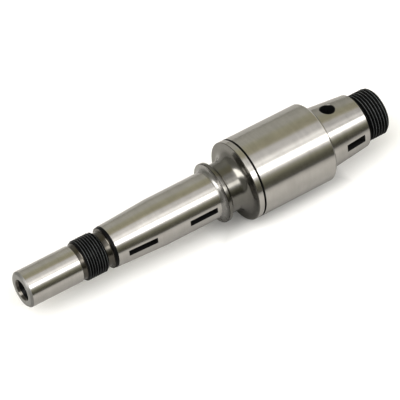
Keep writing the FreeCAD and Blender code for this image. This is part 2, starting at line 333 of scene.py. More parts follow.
@dataclass
class CrossHole:
    """The oil hole that faces +X, with its broken edge, in millimetres.

    Attributes:
        radius: the hole's radius.
        height: height of its axis.
        surface: radius of the taper at that height.
        slope: how much the taper's radius grows for each millimetre up.
        edge_break: size of the broken edge.
    """

    radius: float
    height: float
    surface: float
    slope: float
    edge_break: float

    STEPS = 64
    FLARE = 0.6  # how much wider than the hole the edge-breaking tool is
    CLEAR = 4.0  # how far out past the taper the tool reaches

    def skin(self, radius: float, turn: float) -> float:
        """Gives how far out the taper's surface is on a circle round the hole's axis, mm."""
        across = radius * math.sin(turn)
        up = radius * math.cos(turn)
        taper = self.surface + self.slope * up
        return math.sqrt(taper * taper - across * across)

    def add_to(self, shape: bmesh.types.BMesh, index: int, edge_index: int) -> None:
        """Adds the drill and the tool that breaks the edge to a mesh of cutters.

        Args:
            shape: the mesh of cutters.
            index: the material index of the hole's wall.
            edge_index: the material index of the broken edge.
        """
        wide = self.radius + self.FLARE
        rings = []
        for turn in [2 * math.pi * step / self.STEPS for step in range(self.STEPS)]:
            reach = [
                (self.radius, 0.0),
                (self.radius, self.skin(self.radius, turn) - self.edge_break),
                (wide, self.skin(wide, turn) + self.FLARE - self.edge_break),
                (wide, self.surface + self.CLEAR),
            ]
            rings.append([
                shape.verts.new(Vector((
                    out, radius * math.sin(turn), self.height + radius * math.cos(turn))) * MM)
                for radius, out in reach
            ])
        count = len(rings)
        last = len(rings[0]) - 1
        for step in range(count):
            near, far = rings[step], rings[(step + 1) % count]
            for part in range(last):
                face = shape.faces.new([near[part], far[part], far[part + 1], near[part + 1]])
                face.material_index = edge_index if part == 1 else index
        for end in (0, last):
            face = shape.faces.new([ring[end] for ring in rings])
            face.material_index = index


@dataclass
class PinionShaft:
    """The whole shaft, in millimetres; most names are those of the part's own sizes."""

    crank_thread_dia: float = 19.05
    crank_thread_pitch: float = 1.27
    crank_thread_length: float = 9.0
    crank_end_chamfer: float = 1.1
    crank_relief_width: float = 1.2
    crank_relief_depth: float = 0.925
    crank_taper_length: float = 18.9
    crank_taper_ratio: float = 5.0  # its length over its change of diameter
    journal_dia: float = 31.75
    journal_shoulder: float = 3.175  # step from the crank taper's big end out to the journal
    journal_length: float = 32.6
    journal_chamfer: float = 0.8
    groove_width: float = 0.72
    groove_depth: float = 1.0
    flange_width: float = 2.38
    neck_dia: float = 20.0
    neck_length: float = 9.05
    flange_land: float = 2.075  # flat ring of the flange's face, outside the neck's sweep
    collar_height: float = 2.53  # how far the collar stands out from the seat
    collar_width: float = 1.5
    collar_edge: float = 0.15
    neck_corner: float = 1.8  # ease of the corner where the neck meets the collar
    seat_dia: float = 18.75
    seat_length: float = 25.15
    seat_fillet: float = 1.8
    gear_taper_length: float = 21.2
    gear_taper_ratio: float = 9.68
    ring_step: float = 0.13  # how far the ring lies below the gear taper's small end
    ring_width: float = 1.1
    ring_lead: float = 0.05  # how far up it takes to step in
    undercut_width: float = 2.7
    undercut_depth: float = 1.04
    undercut_fillet: float = 0.5
    nut_thread_dia: float = 15.875
    nut_thread_pitch: float = 1.058
    nut_thread_length: float = 8.8
    nut_thread_chamfer: float = 0.6
    lead_relief_width: float = 1.9
    lead_relief_depth: float = 0.295
    nose_dia: float = 14.29
    nose_length: float = 22.3
    nose_chamfer: float = 0.75
    mouth_dia: float = 8.7
    gallery_dia: float = 6.35
    gallery_overrun: float = 1.0  # how far the gallery goes past the cross hole
    cross_hole_dia: float = 6.0
    cross_hole_setback: float = 11.55  # from the crank taper's foot to the hole's axis
    cross_hole_edge_break: float = 0.1
    centre_mouth_dia: float = 6.0
    centre_pilot_dia: float = 2.5
    centre_pilot_depth: float = 5.5
    gear_key_width: float = 2.38
    gear_key_cutter_dia: float = 12.7
    gear_key_depth: float = 4.5
    gear_key_setback: float = 10.34  # from the ring down to the keyseat's middle
    pump_key_depth: float = 4.4
    pump_key_setback: float = 9.6  # from the collar's top up to the keyseat's middle
    crank_key_width: float = 3.175
    crank_key_cutter_dia: float = 9.525
    crank_key_depth: float = 3.0
    crank_key_setback: float = 6.9  # from the crank taper's foot to the keyseat's middle

    CENTRE_SLOPE = 2 * math.tan(math.radians(30.0))
    DRILL_SLOPE = 2 * math.tan(math.radians(59.0))

    def __post_init__(self) -> None:
        """Works out the heights of the shoulders and the radii that several surfaces share."""
        self.relief_foot = self.crank_thread_length
        self.taper_foot = self.relief_foot + self.crank_relief_width
        self.journal_foot = self.taper_foot + self.crank_taper_length
        self.groove_foot = self.journal_foot + self.journal_length
        self.flange_foot = self.groove_foot + self.groove_width
        self.neck_foot = self.flange_foot + self.flange_width
        self.collar_foot = self.neck_foot + self.neck_length
        self.seat_foot = self.collar_foot + self.collar_width
        self.gear_taper_foot = self.seat_foot + self.seat_length
        self.ring_foot = self.gear_taper_foot + self.gear_taper_length
        self.undercut_foot = self.ring_foot + self.ring_width
        self.nut_thread_foot = self.undercut_foot + self.undercut_width
        self.lead_relief_foot = self.nut_thread_foot + self.nut_thread_length
        self.nose_foot = self.lead_relief_foot + self.lead_relief_width
        self.nose_top = self.nose_foot + self.nose_length
        self.journal = self.journal_dia / 2
        self.crank_taper_big = self.journal - self.journal_shoulder
        self.crank_taper_small = (
            self.crank_taper_big - self.crank_taper_length / self.crank_taper_ratio / 2)
        self.seat = self.seat_dia / 2
        self.gear_taper_small = self.seat - self.gear_taper_length / self.gear_taper_ratio / 2
        self.cross_hole_height = self.taper_foot + self.cross_hole_setback

    def crank_thread(self) -> ScrewThread:
        """Gives the right-hand thread at the crank end."""
        return ScrewThread(
            foot=0.0, top=self.relief_foot, crest=self.crank_thread_dia / 2,
            pitch=self.crank_thread_pitch, hand=Hand.RIGHT, crest_height=1.6,
            foot_chamfer=self.crank_end_chamfer, top_chamfer=0.25)

    def nut_thread(self) -> ScrewThread:
        """Gives the left-hand thread for the pinion gear's nut."""
        return ScrewThread(
            foot=self.nut_thread_foot, top=self.lead_relief_foot, crest=self.nut_thread_dia / 2,
            pitch=self.nut_thread_pitch, hand=Hand.LEFT, crest_height=126.12,
            foot_chamfer=self.nut_thread_chamfer, top_chamfer=self.nut_thread_chamfer)

    def crank_end(self) -> list[Corner]:
        """Lists the corners of the centre hole and the end face, up to the crank thread."""
        pilot = self.centre_pilot_dia / 2
        mouth = self.centre_mouth_dia / 2
        tip = self.centre_pilot_depth + self.centre_pilot_dia / self.DRILL_SLOPE
        cone_top = (self.centre_mouth_dia - self.centre_pilot_dia) / self.CENTRE_SLOPE
        rim = self.crank_thread_dia / 2 - self.crank_end_chamfer
        return [
            Corner(0.0, tip, Finish.POCKET),
            Corner(pilot, self.centre_pilot_depth, Finish.POCKET),
            Corner(pilot, cone_top, Finish.TURNED),
            Corner(mouth, 0.0, Finish.FACED, 0.1),
            Corner(rim, 0.0, Finish.BLACKED),
        ]

    def middle(self) -> list[Corner]:
        """Lists the corners from the crank thread's relief up to the nut thread's undercut."""
        relief = self.crank_thread_dia / 2 - self.crank_relief_depth
        groove = self.journal - self.groove_depth
        neck = self.neck_dia / 2
        collar = self.seat + self.collar_height
        ring = self.gear_taper_small - self.ring_step
        undercut = self.nut_thread_dia / 2 - self.undercut_depth
        sweep = self.journal - neck - self.flange_land
        blacked, turned, ground = Finish.BLACKED, Finish.TURNED, Finish.GROUND
        return [
            Corner(relief, self.relief_foot, blacked),
            Corner(relief, self.taper_foot, turned, 0.2),
            Corner(self.crank_taper_small, self.taper_foot, ground, 0.25, turned),
            Corner(self.crank_taper_big, self.journal_foot, Finish.FACED, 0.25),
            Corner(self.journal - self.journal_chamfer, self.journal_foot, turned, 0.1),
            Corner(self.journal, self.journal_foot + self.journal_chamfer, ground, 0.12),
            Corner(self.journal, self.groove_foot, blacked, 0.08),
            Corner(groove, self.groove_foot, blacked, 0.15),
            Corner(groove, self.flange_foot, blacked, 0.15),
            Corner(self.journal, self.flange_foot, ground, 0.08),
            Corner(self.journal, self.neck_foot, turned, 0.25),
            Corner(neck, self.neck_foot, turned, sweep),
            Corner(neck, self.collar_foot, turned, self.neck_corner),
            Corner(collar, self.collar_foot, turned, self.collar_edge),
            Corner(collar, self.seat_foot, Finish.CHAMFER, self.collar_edge, blacked),
            Corner(self.seat, self.seat_foot, ground, self.seat_fillet, Finish.CHAMFER),
            Corner(self.seat, self.gear_taper_foot, ground, 0.4),
            Corner(self.gear_taper_small, self.ring_foot, blacked, 0.1),
            Corner(ring, self.ring_foot + self.ring_lead, blacked),
            Corner(ring, self.undercut_foot, Finish.RELIEF, 0.25, blacked),
            Corner(undercut, self.undercut_foot, Finish.RELIEF, self.undercut_fillet),
            Corner(undercut, self.nut_thread_foot, blacked, 0.35),
        ]

    def nose(self) -> list[Corner]:
        """Lists the corners from the nut thread's far end to the gallery's floor."""
        nose = self.nose_dia / 2
        relief = nose - self.lead_relief_depth
        mouth = self.mouth_dia / 2
        gallery = self.gallery_dia / 2
        mouth_foot = self.nose_top - (self.mouth_dia - self.gallery_dia) / self.CENTRE_SLOPE
        floor = self.cross_hole_height - self.cross_hole_dia / 2 - self.gallery_overrun
        tip = floor - self.gallery_dia / self.DRILL_SLOPE
        return [
            Corner(relief, self.lead_relief_foot, Finish.RELIEF, 0.3),
            Corner(relief, self.nose_foot, Finish.RELIEF, 0.15),
            Corner(nose, self.nose_foot, Finish.GROUND, 0.15),
            Corner(nose, self.nose_top - self.nose_chamfer, Finish.FACED, 0.12),
            Corner(nose - self.nose_chamfer, self.nose_top, Finish.FACED, 0.08),
            Corner(mouth, self.nose_top, Finish.RELIEF, 0.3, Finish.TURNED),
            # the inner half of the mouth's cone has the blacked finish as painted shade, darker
            # deeper into the mouth
            Corner((mouth + gallery) / 2, (self.nose_top + mouth_foot) / 2, Finish.BLACKED),
            Corner(gallery, mouth_foot, Finish.POCKET, 0.1),
            Corner(gallery, floor, Finish.POCKET),
            Corner(0.0, tip, Finish.POCKET),
        ]

    def skin(self) -> LatheMesh:
        """Lays the whole outline round the axis, threads and all."""
        lathe = LatheMesh()
        crank_end, middle, nose = self.crank_end(), self.middle(), self.nose()
        crank_thread, nut_thread = self.crank_thread(), self.nut_thread()
        thread_end = nut_thread.crest - nut_thread.foot_chamfer
        nut_foot = Corner(thread_end, nut_thread.foot, Finish.BLACKED)
        nut_top = Corner(thread_end, nut_thread.top, Finish.BLACKED)
        self.add_corners(lathe, crank_end[0], crank_end, middle[0])
        lathe.add_thread(crank_thread)
        self.add_corners(lathe, crank_end[-1], middle, nut_foot)
        lathe.add_thread(nut_thread)
        self.add_corners(lathe, nut_top, nose, nose[-1])
        return lathe

    @staticmethod
    def add_corners(
        lathe: LatheMesh, before: Corner, corners: list[Corner], after: Corner,
    ) -> None:
        """Adds a run of corners to the lathe mesh, each rounded as it says.

        Args:
            lathe: the mesh to add to.
            before: the corner that comes before the run.
            corners: the run.
            after: the corner that comes after it.
        """
        run = [before, *corners, after]
        for index, here in enumerate(corners, start=1):
            points = eased_corner(run[index - 1], here, run[index + 1])
            for radius, height in points[:-1]:
                lathe.add_ring(max(radius, 0.0), height, here.edge or here.finish)
            lathe.add_ring(max(points[-1][0], 0.0), points[-1][1], here.finish)

    def cutters(self, order: list[Finish]) -> bpy.types.Object:
        """Makes the tools that sink the keyseats and the cross hole, as one object.

        Args:
            order: the finishes in the order of the material slots.

        Returns:
            The cutters' object.
        """
        wall = order.index(Finish.POCKET)
        gear_height = self.ring_foot - self.gear_key_setback
        pump_height = self.seat_foot + self.pump_key_setback
        crank_height = self.taper_foot + self.crank_key_setback
        gear_slope = 0.5 / self.gear_taper_ratio
        crank_slope = 0.5 / self.crank_taper_ratio
        gear_surface = self.seat - (gear_height - self.gear_taper_foot) * gear_slope
        crank_surface = self.crank_taper_small + self.crank_key_setback * crank_slope
        hole_surface = self.crank_taper_small + self.cross_hole_setback * crank_slope
        keyseats = [
            Keyseat(self.gear_key_width, self.gear_key_cutter_dia / 2,
                    gear_surface - self.gear_key_depth, gear_height),
            Keyseat(self.gear_key_width, self.gear_key_cutter_dia / 2,
                    self.seat - self.pump_key_depth, pump_height),
            Keyseat(self.crank_key_width, self.crank_key_cutter_dia / 2,
                    crank_surface - self.crank_key_depth, crank_height),
        ]
        shape = bmesh.new()
        for keyseat in keyseats:
            keyseat.add_to(shape, wall)
        hole = CrossHole(self.cross_hole_dia / 2, self.cross_hole_height, hole_surface,
                         crank_slope, self.cross_hole_edge_break)
        hole.add_to(shape, wall, order.index(Finish.TURNED))
        bmesh.ops.recalc_face_normals(shape, faces=shape.faces)
        mesh = bpy.data.meshes.new("cutters")
        shape.to_mesh(mesh)
        shape.free()
        return bpy.data.objects.new("cutters", mesh)

    def build(self, materials: dict[Finish, bpy.types.Material]) -> bpy.types.Object:
        """Builds the shaft and dresses it.

        Args:
            materials: the material of each finish.

        Returns:
            The shaft's object.
        """
        order = list(materials)
        mesh = self.skin().build("pinion_shaft_skin", order)
        shaft = bpy.data.objects.new("pinion_shaft_finished", mesh)
        cutters = self.cutters(order)
        for item in (shaft, cutters):
            bpy.context.scene.collection.objects.link(item)
            for finish in order:
                item.data.materials.append(materials[finish])
        cut = shaft.modifiers.new("cut", "BOOLEAN")
        cut.operation = "DIFFERENCE"
        cut.solver = "EXACT"
        cut.object = cutters
        graph = bpy.context.evaluated_depsgraph_get()
        shaft.data = bpy.data.meshes.new_from_object(shaft.evaluated_get(graph))
        shaft.modifiers.clear()
        bpy.data.objects.remove(cutters)
        self.mark_sharp_edges(shaft.data)
        weighted = shaft.modifiers.new("weighted_normals", "WEIGHTED_NORMAL")
        weighted.mode = "FACE_AREA"
        weighted.keep_sharp = True
        log.info("%s: %d faces", shaft.name, len(shaft.data.polygons))
        return shaft

    @staticmethod
    def mark_sharp_edges(mesh: bpy.types.Mesh) -> None:
        """Marks the edges that turn by more than SHARP_TURN as sharp.

        Args:
            mesh: the mesh to mark.
        """
        shape = bmesh.new()
        shape.from_mesh(mesh)
        for face in shape.faces:
            face.smooth = True
        for edge in shape.edges:
            edge.smooth = len(edge.link_faces) == 2 and edge.calc_face_angle(0.0) < SHARP_TURN
        shape.to_mesh(mesh)
        shape.free()


@dataclass(frozen=True)
class Span:
    """A range of values, and the range that it becomes.

    Attributes:
        first: the value that becomes low.
        last: the value that becomes high.
        low: the result up to first.
        high: the result from last on.
    """

    first: float
    last: float
    low: float
    high: float


class NodeSheet:
    """Adds shader nodes to a material or world, one call for each."""

    NOISE_LOW = 0.3  # the lowest and highest values that the noise usually reaches
    NOISE_HIGH = 0.7

    def __init__(self, owner: bpy.types.Material | bpy.types.World) -> None:
        """Clears the owner's nodes.

        Args:
            owner: the material or world to draw on.
        """
        owner.use_nodes = True
        self.tree = owner.node_tree
        self.tree.nodes.clear()

    def add(self, kind: str, **settings: object) -> bpy.types.Node:
        """Adds a node and sets its own settings.

        Args:
            kind: the node's type.
            **settings: values of the node's attributes.

        Returns:
            The node.
        """
        node = self.tree.nodes.new(kind)
        for name, value in settings.items():
            setattr(node, name, value)
        return node

    def put(self, node: bpy.types.Node, **values: object) -> bpy.types.Node:
        """Gives values or links to a node's sockets.

        Args:
            node: the node to fill.
            **values: a value or another node's output for each socket, which is named with _ for
                spaces, or with i and its place among the inputs.

        Returns:
            The node.
        """
        for name, value in values.items():
            socket = node.inputs[int(name[1:]) if name[1:].isdigit() else name.replace("_", " ")]
            if isinstance(value, bpy.types.NodeSocket):
                self.tree.links.new(value, socket)
            else:
                socket.default_value = value
        return node

    def math(self, operation: str, first: object, second: object = 0.0) -> bpy.types.NodeSocket:
        """Adds a Math node and gives its result."""
        node = self.put(self.add("ShaderNodeMath", operation=operation), i0=first, i1=second)
        return node.outputs[0]

    def stretch(self, across: float, along: float) -> bpy.types.NodeSocket:
        """Gives the object's coordinates, scaled across the axis and along it.

        Args:
            across: cycles for each metre across the axis.
            along: cycles for each metre along it.

        Returns:
            The scaled coordinates.
        """
        place = self.add("ShaderNodeTexCoord")
        scale = self.add("ShaderNodeMapping")
        self.put(scale, Vector=place.outputs["Object"], Scale=(across, across, along))
        return scale.outputs["Vector"]

    def noise(self, vector: bpy.types.NodeSocket, scale: float, detail: float,
              low: float, high: float) -> bpy.types.NodeSocket:
        """Adds noise that runs between two values.

        Args:
            vector: the coordinates.
            scale: the noise's scale.
            detail: its octaves.
            low: the lowest value.
            high: the highest value.

        Returns:
            The noise's value.
        """
        node = self.add("ShaderNodeTexNoise")
        self.put(node, Vector=vector, Scale=scale, Detail=detail)
        return self.span(node.outputs["Fac"], Span(self.NOISE_LOW, self.NOISE_HIGH, low, high))

    def span(self, value: bpy.types.NodeSocket, span: Span) -> bpy.types.NodeSocket:
        """Turns one range of values into another, and holds its ends beyond them.

        Args:
            value: the value.
            span: the two ranges.

        Returns:
            The result.
        """
        node = self.add("ShaderNodeMapRange")
        self.put(node, Value=value, From_Min=span.first, From_Max=span.last,
                 To_Min=span.low, To_Max=span.high)
        return node.outputs["Result"]

    def scaled(self, colour: object, factor: bpy.types.NodeSocket) -> bpy.types.NodeSocket:
        """Scales a colour by a factor and gives the result."""
        node = self.add("ShaderNodeVectorMath", operation="SCALE")
        return self.put(node, i0=colour, Scale=factor).outputs[0]

    def along(self, place: bpy.types.NodeSocket, way: Vector) -> bpy.types.NodeSocket:
        """Gives how far a place lies along a direction."""
        node = self.add("ShaderNodeVectorMath", operation="DOT_PRODUCT")
        return self.put(node, i0=place, i1=way).outputs["Value"]


@dataclass(frozen=True)
class SteelFinish:
    """One finish of the shaft's steel.

    Attributes:
        colour: the metal's colour.
        colour_spread: how much the colour's lightness wanders.
        metal: how metallic it is.
        gloss: the specular level where it isn't metallic.
        roughness: the mean roughness.
        roughness_spread: how far the roughness wanders.
        anisotropy: how much further it blurs along the axis than round it.
        mark_pitch: distance between tool marks, mm.
        mark_depth: depth of the tool marks, mm.
    """

    colour: tuple[float, float, float]
    colour_spread: float
    metal: float
    gloss: float
    roughness: float
    roughness_spread: float
    anisotropy: float
    mark_pitch: float
    mark_depth: float

    MARKS_ROUND = 60.0  # cycles of the tool marks for each metre round the shaft
    BLOTCHES = 220.0  # cycles of the wandering colour for each metre
    MARK_STRENGTH = 0.5
    QUARTER_TURN = 0.25  # turns the blur from round the axis to along it

    def material(self, name: str) -> bpy.types.Material:
        """Makes the finish's material.

        Args:
            name: the material's name.

        Returns:
            The material.
        """
        made = bpy.data.materials.new(name)
        sheet = NodeSheet(made)
        marks = sheet.stretch(self.MARKS_ROUND, 1.0 / (self.mark_pitch * MM))
        blotches = sheet.stretch(self.BLOTCHES, self.BLOTCHES)
        wide, narrow = self.colour_spread, self.colour_spread / 2
        lightness = sheet.noise(blotches, scale=1.0, detail=4.0, low=1 - wide, high=1 + wide)
        line_light = sheet.noise(marks, scale=0.5, detail=3.0, low=1 - narrow, high=1 + narrow)
        both = sheet.math("MULTIPLY", lightness, line_light)
        rough = sheet.noise(blotches, scale=2.3, detail=3.0,
                            low=self.roughness - self.roughness_spread,
                            high=self.roughness + self.roughness_spread)
        bump = sheet.add("ShaderNodeBump")
        sheet.put(bump, Height=sheet.noise(marks, scale=1.0, detail=2.0, low=0.0, high=1.0),
                  Strength=self.MARK_STRENGTH, Distance=self.mark_depth * MM)
        shader = sheet.add("ShaderNodeBsdfPrincipled")
        sheet.put(shader, Base_Color=sheet.scaled(self.colour, both), Metallic=self.metal,
                  Roughness=rough, Specular_IOR_Level=self.gloss,
                  Anisotropic=self.anisotropy, Normal=bump.outputs["Normal"])
        if self.anisotropy > 0.0:
            around = sheet.add("ShaderNodeTangent", direction_type="RADIAL", axis="Z")
            sheet.put(shader, Tangent=around.outputs["Tangent"],
                      Anisotropic_Rotation=self.QUARTER_TURN)
        output = sheet.add("ShaderNodeOutputMaterial")
        sheet.put(output, Surface=shader.outputs["BSDF"])
        return made


FINISHES: dict[Finish, SteelFinish] = {
    Finish.GROUND: SteelFinish(
        (0.60, 0.58, 0.555), 0.06, 1.0, 0.0, 0.2, 0.015, 0.75, 0.25, 0.0001),
    Finish.FACED: SteelFinish(
        (0.33, 0.326, 0.318), 0.06, 1.0, 0.0, 0.48, 0.03, 0.0, 0.2, 0.002),
    Finish.CHAMFER: SteelFinish(
        (0.34, 0.333, 0.322), 0.05, 1.0, 0.0, 0.28, 0.02, 0.3, 0.2, 0.0006),
    Finish.TURNED: SteelFinish(
        (0.22, 0.213, 0.197), 0.08, 1.0, 0.0, 0.2, 0.03, 0.4, 0.25, 0.0008),
    Finish.RELIEF: SteelFinish(
        (0.112, 0.104, 0.091), 0.1, 1.0, 0.0, 0.22, 0.03, 0.4, 0.25, 0.001),
    Finish.BLACKED: SteelFinish(
        (0.003, 0.0031, 0.0033), 0.25, 0.0, 0.08, 0.4, 0.06, 0.0, 0.3, 0.002),
    Finish.CREST: SteelFinish(
        (0.155, 0.168, 0.172), 0.3, 0.0, 0.2, 0.6, 0.06, 0.0, 0.3, 0.002),
    Finish.POCKET: SteelFinish(
        (0.007, 0.007, 0.007), 0.2, 0.0, 0.1, 0.6, 0.08, 0.0, 0.3, 0.002),
}


@dataclass(frozen=True)
class LightRow:
    """The room's light at one angle round the shaft, as its ground surfaces mirror it.

    Attributes:
        degrees: angle above the table, from the viewer's side over to the far side.
        gear: strength of the light that the gear taper mirrors.
        level: strength of the light that the cylinders mirror.
        crank: strength of the light that the crank taper mirrors.
        tint: the light's tint.
    """

    degrees: float
    gear: float
    level: float
    crank: float
    tint: tuple[float, float, float]


WHITE = (1.0, 0.985, 0.95)
WARM = (1.0, 0.985, 0.87)
TAN = (1.0, 0.94, 0.66)
OLIVE = (1.0, 0.97, 0.70)
BRIGHTEST = 5.0  # strength that the ramps' whitest stop stands for
ROOM_LIGHT = [
    LightRow(0.0, 0.10, 0.13, 0.07, OLIVE),
    LightRow(6.0, 0.08, 0.104, 0.065, OLIVE),
    LightRow(13.0, 0.12, 0.155, 0.105, OLIVE),
    LightRow(18.0, 0.175, 0.225, 0.145, OLIVE),
    LightRow(24.0, 0.22, 0.38, 0.22, OLIVE),
    LightRow(30.0, 0.33, 0.56, 0.38, WARM),
    LightRow(35.0, 0.78, 1.10, 0.62, WHITE),
    LightRow(39.0, 1.55, 1.55, 0.92, WHITE),
    LightRow(42.0, 4.0, 4.0, 2.1, WHITE),
    LightRow(55.0, 4.0, 4.0, 2.1, WHITE),
    LightRow(58.0, 1.32, 1.30, 0.44, WHITE),
    LightRow(62.0, 1.29, 1.27, 0.40, WHITE),
    LightRow(68.0, 1.56, 1.80, 0.66, WHITE),
    LightRow(74.0, 1.25, 1.24, 0.56, WHITE),
    LightRow(79.0, 0.99, 0.74, 0.40, WHITE),
    LightRow(88.0, 0.95, 0.66, 0.40, WHITE),
    LightRow(95.0, 0.76, 0.63, 0.46, WHITE),
    LightRow(103.0, 0.44, 0.375, 0.31, TAN),
    LightRow(114.0, 0.37, 0.385, 0.29, TAN),
    LightRow(127.0, 0.42, 0.425, 0.30, OLIVE),
    LightRow(141.0, 0.475, 0.50, 0.33, WARM),
    LightRow(155.0, 0.48, 0.48, 0.34, WARM),
    LightRow(168.0, 0.43, 0.43, 0.30, WARM),
    LightRow(180.0, 0.33, 0.34, 0.25, WARM),
]
# degrees above the table, strength and tint of the light from the nose's side
NOSE_SIDE_LIGHT = [
    (0.0, 0.25, WARM),
    (40.0, 0.28, WARM),
    (61.0, 0.36, WARM),
    (66.0, 5.0, WHITE),
    (100.0, 5.0, WHITE),
    (107.0, 0.45, WHITE),
    (125.0, 0.32, WARM),
    (180.0, 0.30, WARM),
]


@dataclass
class Studio:
    """The white table, the room's soft light and the camera.

    Attributes:
        table_clock: direction of the table's normal round the axis, degrees.
        table_reach: distance of the table from the axis, mm.
        table_size: width of the table, mm.
        azimuth: direction of the camera round the axis, degrees.
        elevation: how far above level the camera looks down from, degrees.
        roll: how far the camera is turned about its line of sight, degrees.
        nose_right: how far right of the line of sight the nose's end is, mm.
        nose_down: how far below the line of sight it is, mm.
        nose_ahead: how far ahead of the camera it is, mm.
        lens: the camera's focal length, mm.
        sensor: width of its sensor, mm.
    """

    table_clock: float = -10.0
    table_reach: float = 15.875
    table_size: float = 4000.0
    azimuth: float = 44.02
    elevation: float = 21.75
    roll: float = 117.03
    nose_right: float = -64.41
    nose_down: float = 32.65
    nose_ahead: float = 1110.1
    lens: float = 276.9
    sensor: float = 36.0

    # what the table gives back to the shaft, and to the camera
    MIRRORED_TABLE = (0.49, 0.485, 0.476)
    SEEN_TABLE = (0.97, 0.97, 0.975)
    TABLE_GLOW = 0.05
    # painted light and shade on the mirrored table: factors on its colour, by distance toward the
    # viewer and from the middle
    NEAR_SIDE = Span(8 * MM, 48 * MM, 0.75, 1.0)
    UNDERSIDE = Span(-10 * MM, 8 * MM, 2.05, 1.0)
    BEYOND = Span(-60 * MM, -25 * MM, 0.54, 1.0)
    DISTANT = Span(100 * MM, 340 * MM, 1.0, 0.1)
    FAR_SIDE = Span(-30 * MM, -5 * MM, 1.0, 0.0)
    MIDDLE = (0.0, 0.0, 75 * MM)
    # painted contact shadow on the table as the camera sees it, by distance from the journal's
    # line and by height
    PAINTED_CONTACT_SHADOW = Span(7.5 * MM, 14 * MM, 0.66, 1.0)
    BELOW_JOURNAL = Span(19 * MM, 33 * MM, 1.0, 0.0)
    ABOVE_JOURNAL = Span(58 * MM, 80 * MM, 0.0, 1.0)
    # how far a direction leans up the shaft where one set of lights gives way to the next
    GEAR_TO_LEVEL = Span(-0.272, -0.37, 0.0, 1.0)
    LEVEL_TO_CRANK = Span(-0.37, -0.547, 0.0, 1.0)
    TO_NOSE_SIDE = Span(0.1, 0.35, 0.0, 1.0)
    CRANK_END_GAIN = Span(-0.62, -0.8, 1.0, 3.4)

    def table_normal(self) -> Vector:
        """Gives the table's normal, which is up in the photograph."""
        angle = math.radians(self.table_clock)
        return Vector((math.cos(angle), math.sin(angle), 0.0))

    def viewer_side(self) -> Vector:
        """Gives the level direction that leads from the shaft to the viewer's side."""
        return UP.cross(self.table_normal()) * -1.0

    def make_table(self) -> None:
        """Lays the white table, which can be seen through from behind."""
        normal = self.table_normal()
        mesh = bpy.data.meshes.new("table")
        half = self.table_size / 2 * MM
        side = self.viewer_side()
        centre = normal * -self.table_reach * MM
        corners = [centre + side * x * half + UP * y * half
                   for x, y in ((-1, -1), (1, -1), (1, 1), (-1, 1))]
        mesh.from_pydata(corners, [], [(0, 1, 2, 3)])
        if mesh.polygons[0].normal.dot(normal) < 0.0:
            mesh.flip_normals()
        table = bpy.data.objects.new("table", mesh)
        bpy.context.scene.collection.objects.link(table)
        material = bpy.data.materials.new("table_white")
        sheet = NodeSheet(material)
        path = sheet.add("ShaderNodeLightPath")
        place = sheet.add("ShaderNodeTexCoord").outputs["Object"]
        # the table's colour carries painted light and shade where the shaft mirrors it, and a
        # painted contact shadow where the camera sees it
        shade = sheet.add("ShaderNodeMix", data_type="RGBA")
        sheet.put(shade, i0=path.outputs["Is Camera Ray"],
                  i6=sheet.scaled(self.MIRRORED_TABLE, self.table_painted_light_and_shade(sheet, place)),
                  i7=sheet.scaled(self.SEEN_TABLE, self.table_painted_contact_shadow(sheet, place)))
        diffuse = sheet.put(sheet.add("ShaderNodeBsdfDiffuse"), Color=shade.outputs[2])
        glow = sheet.put(sheet.add("ShaderNodeEmission"), Color=(1.0, 1.0, 1.0, 1.0))
        sheet.put(glow, Strength=sheet.math(
            "MULTIPLY", path.outputs["Is Camera Ray"], self.TABLE_GLOW))
        lit = sheet.add("ShaderNodeAddShader")
        sheet.put(lit, i0=diffuse.outputs[0], i1=glow.outputs[0])
        clear = sheet.add("ShaderNodeBsdfTransparent")
        side_seen = sheet.add("ShaderNodeNewGeometry")
        both = sheet.add("ShaderNodeMixShader")
        sheet.put(both, i0=side_seen.outputs["Backfacing"], i1=lit.outputs[0], i2=clear.outputs[0])
        sheet.put(sheet.add("ShaderNodeOutputMaterial"), Surface=both.outputs[0])
        mesh.materials.append(material)

    def table_painted_light_and_shade(self, sheet: NodeSheet, place: bpy.types.NodeSocket) -> bpy.types.NodeSocket:
        """Gives the painted light and shade on the table's colour as the shaft mirrors it, which
        fades with distance.

        Args:
            sheet: the table's sheet.
            place: the place on the table.

        Returns:
            The share.
        """
        out = self.along_side(sheet, place)
        near = sheet.span(out, self.NEAR_SIDE)
        under = sheet.span(out, self.UNDERSIDE)
        beyond = sheet.span(out, self.BEYOND)
        middle = sheet.add("ShaderNodeVectorMath", operation="DISTANCE")
        sheet.put(middle, i0=place, i1=self.MIDDLE)
        far = sheet.span(middle.outputs["Value"], self.DISTANT)
        far = sheet.math("MAXIMUM", far, sheet.span(out, self.FAR_SIDE))
        side_share = sheet.math("MULTIPLY", under, beyond)
        return sheet.math("MULTIPLY", sheet.math("MULTIPLY", near, side_share), far)

    def table_painted_contact_shadow(self, sheet: NodeSheet, place: bpy.types.NodeSocket) -> bpy.types.NodeSocket:
        """Gives the painted contact shadow on the table beside the journal that rests on it, as a
        factor on its colour.

        Args:
            sheet: the table's sheet.
            place: the place on the table.

        Returns:
            The share.
        """
        out = sheet.math("ABSOLUTE", self.along_side(sheet, place))
        height = sheet.along(place, UP)
        below = sheet.span(height, self.BELOW_JOURNAL)
        above = sheet.span(height, self.ABOVE_JOURNAL)
        gap = sheet.span(out, self.PAINTED_CONTACT_SHADOW)
        return sheet.math("MAXIMUM", gap, sheet.math("MAXIMUM", below, above))

    def along_side(self, sheet: NodeSheet, place: bpy.types.NodeSocket) -> bpy.types.NodeSocket:
        """Gives how far a place lies toward the viewer's side."""
        return sheet.along(place, self.viewer_side())

